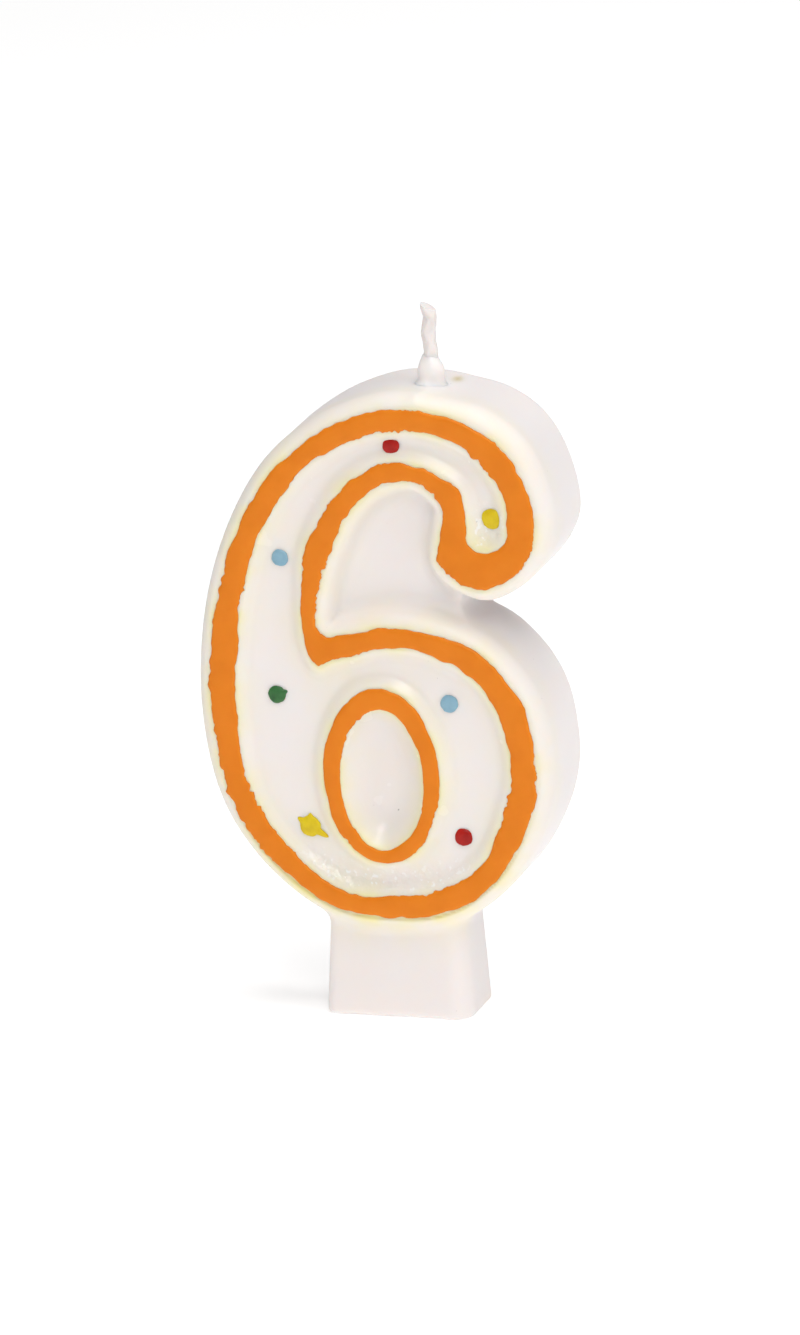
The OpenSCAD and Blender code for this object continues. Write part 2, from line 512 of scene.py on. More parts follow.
def hold(mesh: bpy.types.Mesh, name: str, values: np.ndarray) -> None:
    """Stores a number or a vector at each point of a mesh.

    Args:
        mesh: The mesh.
        name: The attribute's name.
        values: One number, or one row of three, for each point.
    """
    flat = values.ndim == 1
    kind, key = ("FLOAT", "value") if flat else ("FLOAT_VECTOR", "vector")
    mesh.attributes.new(name, kind, "POINT").data.foreach_set(key, values.astype(np.float32).ravel())


def face_outwards(mesh: bpy.types.Mesh) -> None:
    """Turns all faces of a closed mesh outwards.

    Args:
        mesh: The mesh.
    """
    work = bmesh.new()
    work.from_mesh(mesh)
    bmesh.ops.recalc_face_normals(work, faces=work.faces)
    if work.calc_volume(signed=True) < 0:
        bmesh.ops.reverse_faces(work, faces=work.faces)
    work.to_mesh(mesh)
    work.free()


def run_nodes(name: str, mesh: bpy.types.Mesh, group: bpy.types.NodeTree, inputs: dict) -> bpy.types.Object:
    """Runs a geometry node tree over a mesh.

    Args:
        name: The finished piece's name.
        mesh: What the tree starts from.
        group: The tree.
        inputs: The values of its named inputs.

    Returns:
        A new object that holds the plain result.
    """
    source = as_object(f"{name}_source", mesh)
    modifier = source.modifiers.new("nodes", "NODES")
    modifier.node_group = group
    for item in group.interface.items_tree:
        if item.name in inputs:
            modifier[item.identifier] = inputs[item.name]
    graph = bpy.context.evaluated_depsgraph_get()
    made = bpy.data.meshes.new_from_object(source.evaluated_get(graph), depsgraph=graph)
    bpy.data.objects.remove(source)
    made.name = name
    face_outwards(made)
    made.shade_smooth()
    return as_object(name, made)


def surface_of(values: np.ndarray, low: np.ndarray, step: float) -> tuple[np.ndarray, np.ndarray]:
    """Skin of a solid given by a field on a regular grid, negative inside.

    Each grid cell that the skin passes through gets one point, and each grid edge that it
    crosses gets one four-sided face.

    Args:
        values: The field at the grid's points.
        low: The grid's lowest corner.
        step: The grid's spacing.

    Returns:
        The points and the faces.
    """
    cells = np.array(values.shape) - 1
    total = np.zeros((cells.prod(), 3))
    count = np.zeros(cells.prod())
    crossings = []
    for axis in range(3):
        first = np.take(values, range(cells[axis]), axis)
        second = np.take(values, range(1, cells[axis] + 1), axis)
        at = np.argwhere((first < 0) != (second < 0))
        start, end = first[tuple(at.T)], second[tuple(at.T)]
        spot = at.astype(float)
        spot[:, axis] += start / (start - end)
        u, v = (axis + 1) % 3, (axis + 2) % 3
        corners = []
        for du, dv in ((1, 1), (0, 1), (0, 0), (1, 0)):
            cell = at.copy()
            cell[:, u] -= du
            cell[:, v] -= dv
            number = np.ravel_multi_index(tuple(cell.T), tuple(cells), mode="clip")
            corners.append(number)
            count += np.bincount(number, minlength=len(count))
            for k in range(3):
                total[:, k] += np.bincount(number, weights=spot[:, k], minlength=len(count))
        quads = np.stack(corners, 1)
        outwards = start < 0
        crossings.append(np.where(outwards[:, None], quads, quads[:, ::-1]))
    used = count > 0
    index = np.cumsum(used) - 1
    points = low + step * total[used] / count[used][:, None]
    return points, index[np.concatenate(crossings)]


def settle(points: np.ndarray, solid: Field, rounds: int = 3, reach: float = 0.02) -> np.ndarray:
    """Moves points onto the zero level of a field.

    Args:
        points: Points close to the level.
        solid: The field, negative inside.
        rounds: How many steps are taken.
        reach: Half the distance over which the slope is measured.

    Returns:
        The moved points.
    """
    for _ in range(rounds):
        here = solid(*points.T)
        slope = np.empty_like(points)
        for k in range(3):
            shift = np.zeros(3)
            shift[k] = reach
            slope[:, k] = (solid(*(points + shift).T) - solid(*(points - shift).T)) / (2 * reach)
        move = here / np.maximum((slope**2).sum(1), 0.25)
        points = points - slope * np.clip(move, -0.15, 0.15)[:, None]
    return points


def relax(points: np.ndarray, faces: np.ndarray, rounds: int = 6) -> np.ndarray:
    """Evens out a mesh without shrinking it.

    Args:
        points: Its points.
        faces: Its four-sided faces.
        rounds: How many pairs of inward and outward steps are taken.

    Returns:
        The moved points.
    """
    starts = faces.ravel()
    ends = np.roll(faces, -1, 1).ravel()
    count = np.bincount(starts, minlength=len(points))[:, None]
    for share in (0.5, -0.52) * rounds:
        total = [np.bincount(starts, weights=points[ends, k], minlength=len(points)) for k in range(3)]
        points = points + share * (np.stack(total, 1) / count - points)
    return points


def smooth_min(a: np.ndarray, b: np.ndarray, blend: float) -> np.ndarray:
    """The smaller of two fields, with a fillet.

    Args:
        a: One field.
        b: The other field.
        blend: The fillet's width.

    Returns:
        The joined field.
    """
    h = np.clip(0.5 + 0.5 * (b - a) / blend, 0, 1)
    return b + (a - b) * h - blend * h * (1 - h)


def smooth_max(a: np.ndarray, b: np.ndarray, blend: float) -> np.ndarray:
    """The larger of two fields, with a rounded edge."""
    return -smooth_min(-a, -b, blend)


def eased(value: np.ndarray, low: float, high: float) -> np.ndarray:
    """Rises smoothly from 0 at low to 1 at high."""
    t = np.clip((value - low) / (high - low), 0, 1)
    return t * t * (3 - 2 * t)


# ---------------------------------------------------------------- the frame's shapes


def smooth_loop(points: np.ndarray, steps: int) -> np.ndarray:
    """A closed smooth curve through points.

    Args:
        points: The points, in order.
        steps: How many points each span gets.

    Returns:
        The finer loop.
    """
    a, b, c, d = (np.roll(points, shift, 0)[:, None] for shift in (1, 0, -1, -2))
    t = (np.arange(steps) / steps)[None, :, None]
    curve = (2 * b + (c - a) * t + (2 * a - 5 * b + 4 * c - d) * t**2 + (3 * b - a - 3 * c + d) * t**3) / 2
    return curve.reshape(-1, points.shape[1])


def underside_loops(node: str) -> list[np.ndarray]:
    """The two closed edges of a wax line's flat underside.

    Args:
        node: The frame's node that holds the line.

    Returns:
        The outer and the inner loop in X and Z, in millimetres, anticlockwise, matched point
        by point.
    """
    work = bmesh.new()
    work.from_mesh(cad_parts[node].data)
    bmesh.ops.remove_doubles(work, verts=work.verts, dist=2e-6)
    back = max(v.co.y for v in work.verts)
    flat = {f for f in work.faces if all(abs(v.co.y - back) < 1e-6 for v in f.verts)}
    rim = {e for e in work.edges if sum(f in flat for f in e.link_faces) == 1}
    loops = []
    while rim:
        edge = rim.pop()
        chain = [edge.verts[0], edge.verts[1]]
        while True:
            following = next((e for e in chain[-1].link_edges if e in rim), None)
            if following is None:
                break
            rim.discard(following)
            chain.append(following.other_vert(chain[-1]))
        loop = np.array([(v.co.x, v.co.z) for v in chain[:-1]]) / MM
        area = np.sum(loop[:, 0] * np.roll(loop[:, 1], -1) - loop[:, 1] * np.roll(loop[:, 0], -1))
        loops.append(loop if area > 0 else loop[::-1])
    work.free()
    loops.sort(key=lambda loop: -np.ptp(loop[:, 1]))
    outer, inner = loops
    gaps = [np.sum((outer - np.roll(inner, -k, 0)) ** 2) for k in range(len(inner))]
    return [outer, np.roll(inner, -int(np.argmin(gaps)), 0)]


@dataclass
class DistanceMap:
    """Signed distances to a closed outline in X and Z, negative inside it.

    Attributes:
        outline: The outline's points, anticlockwise.
        low: The map's lowest corner.
        high: The map's highest corner.
        step: The map's spacing.
        values: The distances, one for each point of the map.
    """

    outline: np.ndarray
    low: tuple[float, float]
    high: tuple[float, float]
    step: float = 0.16
    values: np.ndarray = field(init=False)

    def __post_init__(self) -> None:
        """Measures every point of the map."""
        tree = KDTree(len(self.outline))
        for i, (x, z) in enumerate(self.outline):
            tree.insert((x, z, 0), i)
        tree.balance()
        xs = np.arange(self.low[0], self.high[0] + self.step, self.step)
        zs = np.arange(self.low[1], self.high[1] + self.step, self.step)
        spots = np.stack(np.meshgrid(xs, zs, indexing="ij"), -1).reshape(-1, 2)
        nearest = np.array([tree.find((x, z, 0))[1] for x, z in spots])
        best = np.full(len(spots), np.inf)
        side = np.zeros(len(spots))
        for shift in (-1, 0):
            a = self.outline[(nearest + shift) % len(self.outline)]
            b = self.outline[(nearest + shift + 1) % len(self.outline)]
            run = b - a
            share = np.clip(((spots - a) * run).sum(1) / (run**2).sum(1), 0, 1)
            away = spots - a - run * share[:, None]
            gap = np.hypot(*away.T)
            best = np.minimum(best, gap)
            normal = np.stack([run[:, 1], -run[:, 0]], 1) / np.hypot(*run.T)[:, None]
            side += (normal * away).sum(1) / np.maximum(gap, 1e-9)
        self.values = (best * np.where(side > 0, 1, -1)).reshape(len(xs), len(zs))

    def at(self, x: np.ndarray, z: np.ndarray) -> np.ndarray:
        """Distances at given places.

        Args:
            x: Their X, in millimetres.
            z: Their Z, in millimetres.

        Returns:
            One signed distance for each.
        """
        u = np.clip((x - self.low[0]) / self.step, 0, self.values.shape[0] - 1.001)
        v = np.clip((z - self.low[1]) / self.step, 0, self.values.shape[1] - 1.001)
        i, j = u.astype(int), v.astype(int)
        s, t = u - i, v - j
        lower = self.values[i, j] * (1 - s) + self.values[i + 1, j] * s
        upper = self.values[i, j + 1] * (1 - s) + self.values[i + 1, j + 1] * s
        return lower * (1 - t) + upper * t


@dataclass
class Relief:
    """The four edges of the two wax lines, and the distances from them.

    Attributes:
        stroke: The outer and inner edge of the line along the stroke.
        counter: The outer and inner edge of the line round the counter.
        maps: A distance map for each edge.
    """

    stroke: list[np.ndarray] = field(init=False)
    counter: list[np.ndarray] = field(init=False)
    maps: dict[str, DistanceMap] = field(init=False)

    def __post_init__(self) -> None:
        """Reads the lines from the frame and measures their maps."""
        self.stroke = underside_loops("digit_outline")
        self.counter = underside_loops("counter_outline")
        low, high = (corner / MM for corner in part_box("wax_body"))
        corners = ((low.x - 2, low.z - 2), (high.x + 2, high.z + 2))
        edges = {
            "stroke_outer": self.stroke[0],
            "stroke_inner": self.stroke[1],
            "counter_outer": self.counter[0],
            "counter_inner": self.counter[1],
        }
        self.maps = {name: DistanceMap(smooth_loop(loop, 6), *corners) for name, loop in edges.items()}

    def gaps(self, x: np.ndarray, z: np.ndarray) -> dict[str, np.ndarray]:
        """All four signed distances at given places."""
        return {name: chart.at(x, z) for name, chart in self.maps.items()}


# ---------------------------------------------------------------- the candle


@dataclass
class WaxBody:
    """The cast body: rounded shoulder, channel, web, dish and stem.

    Attributes:
        relief: The wax lines that the body's shape follows.
        finish: The body's finish.
        step: Spacing of the mesh.
        shoulder_depth: Depth over which the front shoulder rounds.
        hook_extra: Extra width of the shoulder round the hook.
        channel: Depth of the stroke's channel.
        dish: Depth of the dish in the counter.
        web: Depth of the web between hook and bowl.
        web_back: How far the web's back lies in front of the digit's.
        web_box: The web's left, right, lower and upper edge.
        back_round: Radius of the back edge.
        stem: Half width, half thickness and taper of the stem, with its left and right radius.
        stem_top: Height at which the stem's taper ends.
        fillet: Width of the blend between stem, web and digit.
        bore: Radius and depth of the wick's bore, which is open at the foot.
    """

    relief: Relief
    finish: CastWax
    step: float = 0.33
    shoulder_depth: float = 2.6
    hook_extra: float = 0.4
    channel: float = 1.0
    dish: float = 2.5
    web: float = 3.5
    web_back: float = 0.4
    web_box: tuple[float, float, float, float] = (-9.0, 8.4, 44.0, 67.0)
    back_round: float = 0.6
    stem: tuple[float, float, float, float, float] = (8.8, 5.5, 1.6, 1.2, 2.4)
    stem_top: float = 15.0
    fillet: float = 1.6
    bore: tuple[float, float] = (0.8, 3.0)

    def __post_init__(self) -> None:
        """Takes the body's place and outer sizes from the frame."""
        low, high = (np.array(corner / MM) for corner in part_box("wax_body"))
        self.low, self.high = low, high
        self.rim, self.back = low[1], high[1]
        self.thick = self.back - self.rim
        self.shoulder = high[2] - self.relief.stroke[0][:, 1].max() + 0.03
        wick_low, wick_high = (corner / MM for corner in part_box("wick_seal"))
        self.wick_x = (wick_low.x + wick_high.x) / 2

    def waves(self, x: np.ndarray, y: np.ndarray, z: np.ndarray) -> np.ndarray:
        """Slow unevenness of a hand-finished casting.

        Args:
            x: Places across, in millimetres.
            y: Places through.
            z: Places up.

        Returns:
            The unevenness, from -1 to 1.
        """
        first = np.sin(0.37 * x + 0.9 + 0.6 * np.sin(0.21 * z)) * np.cos(0.29 * z - 0.4)
        second = np.sin(0.83 * z + 1.7 + 0.5 * y) * np.cos(0.61 * x + 0.3)
        return 0.65 * first + 0.35 * second

    def stem_field(self, x: np.ndarray, y: np.ndarray, z: np.ndarray) -> np.ndarray:
        """The tapering stem with rounded corners and foot.

        Args:
            x: Places across, in millimetres.
            y: Places through.
            z: Places up.

        Returns:
            The field, negative inside.
        """
        half_w, half_t, taper, left, right = self.stem
        slim = taper / 2 * np.clip(z, 0, self.stem_top) / self.stem_top
        radius = np.where(x < 0, left, right)
        px = np.abs(x) - (half_w - slim - radius)
        py = np.abs(y) - (half_t - slim - radius)
        side = np.hypot(np.maximum(px, 0), np.maximum(py, 0)) + np.minimum(np.maximum(px, py), 0) - radius
        foot = 0.07 * (1 + self.waves(1.3 * x, y, z)) * eased(np.abs(x + 1.5) + np.abs(y), 5, 9) - z
        return smooth_max(smooth_max(side, foot, 0.6), z - self.stem_top - 1, 0.5)

    def digit_field(self, t: np.ndarray, outer: np.ndarray, width: np.ndarray) -> np.ndarray:
        """The digit without its recesses.

        Args:
            t: Depth behind the rim.
            outer: Distance from the stroke line's outer edge.
            width: The shoulder's width.

        Returns:
            The field, negative inside.
        """
        front = np.hypot(np.maximum(outer, 0) / width, np.maximum(self.shoulder_depth - t, 0) / self.shoulder_depth)
        front = (front - 1) * width
        r = self.back_round
        back = np.hypot(np.maximum(outer - width + r, 0), np.maximum(t - self.thick + r, 0)) - r
        return np.maximum(front, back)

    def web_field(self, x: np.ndarray, z: np.ndarray, t: np.ndarray) -> np.ndarray:
        """The web that fills the gap between the hook and the bowl.

        Args:
            x: Places across, in millimetres.
            z: Places up.
            t: Depth behind the rim.

        Returns:
            The field, negative inside.
        """
        left, right, lower, upper = self.web_box
        side = np.maximum(np.maximum(left - x, x - right), np.maximum(lower - z, z - upper))
        face = np.maximum(self.web - t, t - self.thick + self.web_back)
        return smooth_max(side, face, 0.8)

    def recess(self, gaps: dict[str, np.ndarray]) -> np.ndarray:
        """Depth of the channel and the dish below the rim.

        Args:
            gaps: The distances from the lines' edges.

        Returns:
            The depth, 0 under the lines and outside the stroke.
        """
        along = smooth_min(-gaps["stroke_inner"], gaps["counter_outer"], 1.5)
        channel = self.channel * eased(along, -0.1, 1.9) + 0.12 * eased(along, 1.0, 4.5)
        inside = np.clip(-gaps["counter_inner"] / 4.2, 0, 1)
        dish = self.dish * (1 - (1 - inside) ** 2.2)
        return np.where(along > -0.1, channel, 0) + np.where(inside > 0, dish, 0)

    def solid(self, x: np.ndarray, y: np.ndarray, z: np.ndarray) -> np.ndarray:
        """The whole body as a field.

        Args:
            x: Places across, in millimetres.
            y: Places through.
            z: Places up.

        Returns:
            The field, negative inside.
        """
        gaps = self.relief.gaps(x, z)
        t = y - self.rim
        width = self.shoulder + self.hook_extra * eased(x, 8, 13) * eased(z, 54, 60)
        rough = 0.05 * self.waves(x, y, z)
        shape = self.digit_field(t, gaps["stroke_outer"] + rough * eased(t, 1.5, 4), width)
        shape = smooth_min(shape, self.web_field(x, z, t), 1.4 * self.fillet)
        shape = smooth_min(shape, self.stem_field(x, y, z), self.fillet)
        run = np.exp(-(((x - self.wick_x + 0.3) / 0.75) ** 2)) * eased(z, 71.5, 73.5) * (1 - eased(y, -3, 0))
        shape = smooth_max(shape - 0.14 * run, self.recess(gaps) - t, 0.35)
        shape = np.maximum(shape, np.maximum(-t, t - self.thick + 0.04 + rough * 0.8))
        radius, depth = self.bore
        bore = np.minimum(radius - np.hypot(x - self.wick_x, y), depth - z)
        return np.maximum(np.maximum(shape, bore), -z)

    def front_at(self, x: np.ndarray, z: np.ndarray) -> np.ndarray:
        """Where the front surface lies in the channel or the dish.

        Args:
            x: Places across, in millimetres.
            z: Places up.

        Returns:
            The surface's Y at each place.
        """
        return self.rim + self.recess(self.relief.gaps(x, z))

    def top_at(self, x: np.ndarray, y: np.ndarray) -> np.ndarray:
        """Height of the body's upper surface near the wick.

        Args:
            x: Places across, in millimetres.
            y: Places through.

        Returns:
            The surface's height at each place.
        """
        inside, outside = np.full(x.shape, 72.0), np.full(x.shape, self.high[2] + 1)
        for _ in range(18):
            middle = (inside + outside) / 2
            solid = self.solid(x, y, middle) < 0
            inside, outside = np.where(solid, middle, inside), np.where(solid, outside, middle)
        return inside

    def build(self) -> bpy.types.Object:
        """Builds and dresses the body.

        Returns:
            The finished piece.
        """
        low = self.low - 1.5 * self.step
        counts = np.ceil((self.high - self.low) / self.step + 4).astype(int)
        axes = [low[k] + self.step * np.arange(counts[k]) for k in range(3)]
        grid = np.meshgrid(*axes, indexing="ij")
        values = self.solid(*(g.ravel() for g in grid)).reshape(grid[0].shape)
        points, faces = surface_of(values, low, self.step)
        points = relax(settle(points, self.solid), faces)
        points = np.clip(points, self.low, self.high)
        mesh = mesh_from("wax_body_cast", points, faces)
        self.tint(mesh, points)
        piece = as_object("wax_body_cast", mesh)
        mesh.materials.append(self.finish.material())
        return piece

    def tint(self, mesh: bpy.types.Mesh, points: np.ndarray) -> None:
        """Stores where the dye has crept, where the skin is crinkled and carries painted glints, where it is glossy,
        and the stain.

        Args:
            mesh: The body's mesh.
            points: Its points, in millimetres.
        """
        x, y, z = points.T
        gaps = self.relief.gaps(x, z)
        front = 1 - eased(y - self.rim, 2.5, 6.5)
        dye = sum(0.48 * np.exp(-np.abs(gap) / 0.42) + 0.28 * np.exp(-np.abs(gap) / 1.8) for gap in gaps.values())
        outer, inner = gaps["stroke_outer"], gaps["stroke_inner"]
        low_side = eased(-z, -24, -14) * eased(outer, -0.2, 0.4) * np.exp(-outer.clip(0) / 1.8)
        hook_end = 0.3 * eased(x, 9, 12) * eased(z, 53, 56) * eased(-z, -61, -57) * eased(-inner, 0, 0.5)
        hold(mesh, "dye", np.clip((dye + 0.45 * low_side + hook_end) * front, 0, 1))
        # The crinkled channel floor; this mask also places the painted highlights (white specks in the base colour) of
        # the body's finish.
        floor = eased(-inner, 0.2, 1.0) * eased(inner, -4.5, -2.0)
        bottom = floor * eased(-z, -22, -17)
        hook = floor * eased(x, 9, 12) * eased(z, 54, 57) * eased(-z, -64, -60)
        hold(mesh, "crinkle_and_glint", np.clip(bottom + hook, 0, 1) * front)
        hold(mesh, "polish", front * eased(-outer, -0.6, 0.4))
        spot = np.hypot(np.hypot(x - self.wick_x - 2.3, (y - 3.2) * 0.5), z - self.high[2])
        sliver = 0.6 * np.exp(-(((outer - 0.15) / 0.2) ** 2)) * eased(-z, -26, -16) * (y < self.rim + 1)
        hold(mesh, "stain", np.clip(np.exp(-((spot / 0.55) ** 2)) + sliver, 0, 1))


class Place(Enum):
    """Where a wax line is laid."""

    STROKE = "digit_outline"
    COUNTER = "counter_outline"


@dataclass
class WaxLine:
    """A line of dyed wax piped along the rim, made by geometry nodes from its two edges.

    Attributes:
        place: Which line it is.
        loops: Its outer and inner edge.
        finish: Its finish.
        rise: Its height above the rim.
        dip: How deep its edges lie below the rim.
        sink: How deep its underside lies below its edges.
        wander: How far its edges stray.
        seed: Which wander it is.
    """

    place: Place
    loops: list[np.ndarray]
    finish: DyedWax
    rise: float = 0.34
    dip: float = 0.14
    sink: float = 0.5
    wander: float = 0.5
    seed: float = 4.0

    def tree(self) -> bpy.types.NodeTree:
        """The geometry nodes: a rounded ribbon along the loop, with straying edges.

        Returns:
            The node tree.
        """
        tree = bpy.data.node_groups.new("piped_line", "GeometryNodeTree")
        maker = NodeMaker(tree)
        given = maker.given(("Rise", "Dip", "Sink", "Wander", "Seed"), "Wax")
        here = maker.add("GeometryNodeInputPosition").outputs[0]
        tube = maker.tube(given["Geometry"], here, 20, False)
        rung, seed = maker.named("rung"), given["Seed"]
        side, top, _ = maker.parts(maker.named("section"))
        spot = maker.vector("ADD", maker.named("middle"), maker.vector("SCALE", rung, side))
        torn = maker.noise(spot, 6.0, 1, seed + 3).step(0.48, 0.62)
        stray = (maker.noise(spot, 2.6, 1, seed) - 0.5) * 2.2
        stray = stray + (maker.noise(spot, 0.8, 2, seed + 5) - 0.5) * (torn * 2.4 + 0.5)
        stray = stray * given["Wander"] * side
        spot = maker.vector("ADD", spot, maker.vector("SCALE", maker.vector("NORMALIZE", rung), stray))
        swell = maker.noise(spot, 3.0, 1, seed + 9) * 0.5 + 0.75
        up = top.most(0.0) ** 0.55 * swell * given["Rise"]
        down = top.least(0.0).size() * given["Sink"]
        spot = maker.vector("ADD", spot, maker.joined(0.0, down - up + given["Dip"], 0.0))
        maker.end(tube, spot, given["Wax"])
        return tree

    def build(self) -> bpy.types.Object:
        """Builds and dresses the line.

        Returns:
            The finished piece.
        """
        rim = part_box(self.place.value)[1].y / MM
        outer, inner = (smooth_loop(loop, 8) for loop in self.loops)
        middle, rung = (outer + inner) / 2, (outer - inner) / 2
        flat = np.full(len(middle), rim)
        count = len(middle)
        ring = [(i, (i + 1) % count) for i in range(count)]
        mesh = mesh_from("loop", np.stack([middle[:, 0], flat, middle[:, 1]], 1), edges=ring)
        hold(mesh, "rung", np.stack([rung[:, 0], 0 * flat, rung[:, 1]], 1) * MM)
        sizes = {"Rise": self.rise, "Dip": self.dip, "Sink": self.sink, "Wander": self.wander}
        inputs = {name: size * MM for name, size in sizes.items()}
        inputs |= {"Seed": self.seed, "Wax": self.finish.material()}
        group = bpy.data.node_groups.get("piped_line") or self.tree()
        return run_nodes(f"{self.place.value}_wax", mesh, group, inputs)


@dataclass(frozen=True)
class Tail:
    """A spur where a drop was pulled.

    Attributes:
        angle: Its direction in degrees, anticlockwise from the right.
        length: Its length in millimetres.
    """

    angle: float = 0.0
    length: float = 0.0


@dataclass
class WaxDrop:
    """A drop of dyed wax on the channel's floor.

    Attributes:
        node: The frame's node that it stands for.
        body: The body whose channel it lies in.
        finish: Its finish.
        seed: Which irregular outline it has.
        tails: Up to three spurs.
        rise: Its height.
    """

    node: str
    body: WaxBody
    finish: DyedWax
    seed: float
    tails: tuple[Tail, ...] = ()
    rise: float = 0.38

    def tree(self) -> bpy.types.NodeTree:
        """The geometry nodes: a flattened, irregular drop with spurs, placed on a point.

        Returns:
            The node tree.
        """
        tree = bpy.data.node_groups.new("wax_drop", "GeometryNodeTree")
        maker = NodeMaker(tree)
        tails = [f"Tail {k} {what}" for k in range(3) for what in ("Angle", "Length")]
        given = maker.given(("Radius", "Rise", "Lean X", "Lean Z", "Seed", *tails), "Wax")
        here = maker.add("GeometryNodeInputPosition").outputs[0]
        radius, seed = given["Radius"], given["Seed"]
        ball = maker.add("GeometryNodeMeshIcoSphere", values={"Radius": 1.0, "Subdivisions": 5}).outputs[0]
        ball = maker.store(ball, "local", here)
        size = {"Points": given["Geometry"], "Instance": ball, "Scale": maker.joined(radius, radius, radius)}
        drop = maker.add("GeometryNodeInstanceOnPoints", values=size).outputs[0]
        drop = maker.add("GeometryNodeRealizeInstances", values={0: drop}).outputs[0]
        local = maker.named("local")
        x, y, z = maker.parts(local)
        flat = maker.vector("NORMALIZE", maker.joined(x, 0.0, z))
        rim = maker.noise(maker.vector("SCALE", flat, 0.0011), 1.0, 2, seed) * 0.34 - 0.17
        out = radius * rim
        for k in range(3):
            angle = given[f"Tail {k} Angle"]
            aim = maker.joined(angle.cosine(), 0.0, (angle - math.pi / 2).cosine())
            facing = maker.measure("DOT_PRODUCT", flat, aim)
            out = out + facing.most(0.0) ** 45.0 * given[f"Tail {k} Length"]
        spread = maker.measure("LENGTH", maker.joined(x, 0.0, z))
        push = maker.vector("SCALE", flat, out * spread**1.5)
        centre = maker.vector("SUBTRACT", here, maker.vector("SCALE", local, radius))
        up = (y * -1.0).most(0.0) ** 0.8 * given["Rise"]
        down = y.most(0.0) * given["Rise"]
        lean = (x * given["Lean X"] + z * given["Lean Z"]) * radius
        place = maker.joined(x * radius, down - up + lean, z * radius)
        spot = maker.vector("ADD", maker.vector("ADD", centre, push), place)
        maker.end(drop, spot, given["Wax"])
        return tree

    def build(self) -> bpy.types.Object:
        """Builds and dresses the drop.

        Returns:
            The finished piece.
        """
        low, high = (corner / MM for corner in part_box(self.node))
        middle = (low + high) / 2
        reach = 0.7
        aside, along = reach * np.array([(0, 0), (1, 0), (-1, 0), (0, 1), (0, -1)]).T
        depth = self.body.front_at(middle.x + aside, middle.z + along)
        mesh = mesh_from("point", np.array([[middle.x, depth.mean(), middle.z]]))
        inputs = {
            "Radius": (high.x - low.x) / 2 * MM,
            "Rise": self.rise * MM,
            "Lean X": (depth[1] - depth[2]) / (2 * reach),
            "Lean Z": (depth[3] - depth[4]) / (2 * reach),
            "Seed": self.seed,
            "Wax": self.finish.material(),
        }
        for k, tail in enumerate(self.tails):
            inputs |= {f"Tail {k} Angle": math.radians(tail.angle), f"Tail {k} Length": tail.length * MM}
        group = bpy.data.node_groups.get("wax_drop") or self.tree()
        return run_nodes(f"{self.node}_drop", mesh, group, inputs)


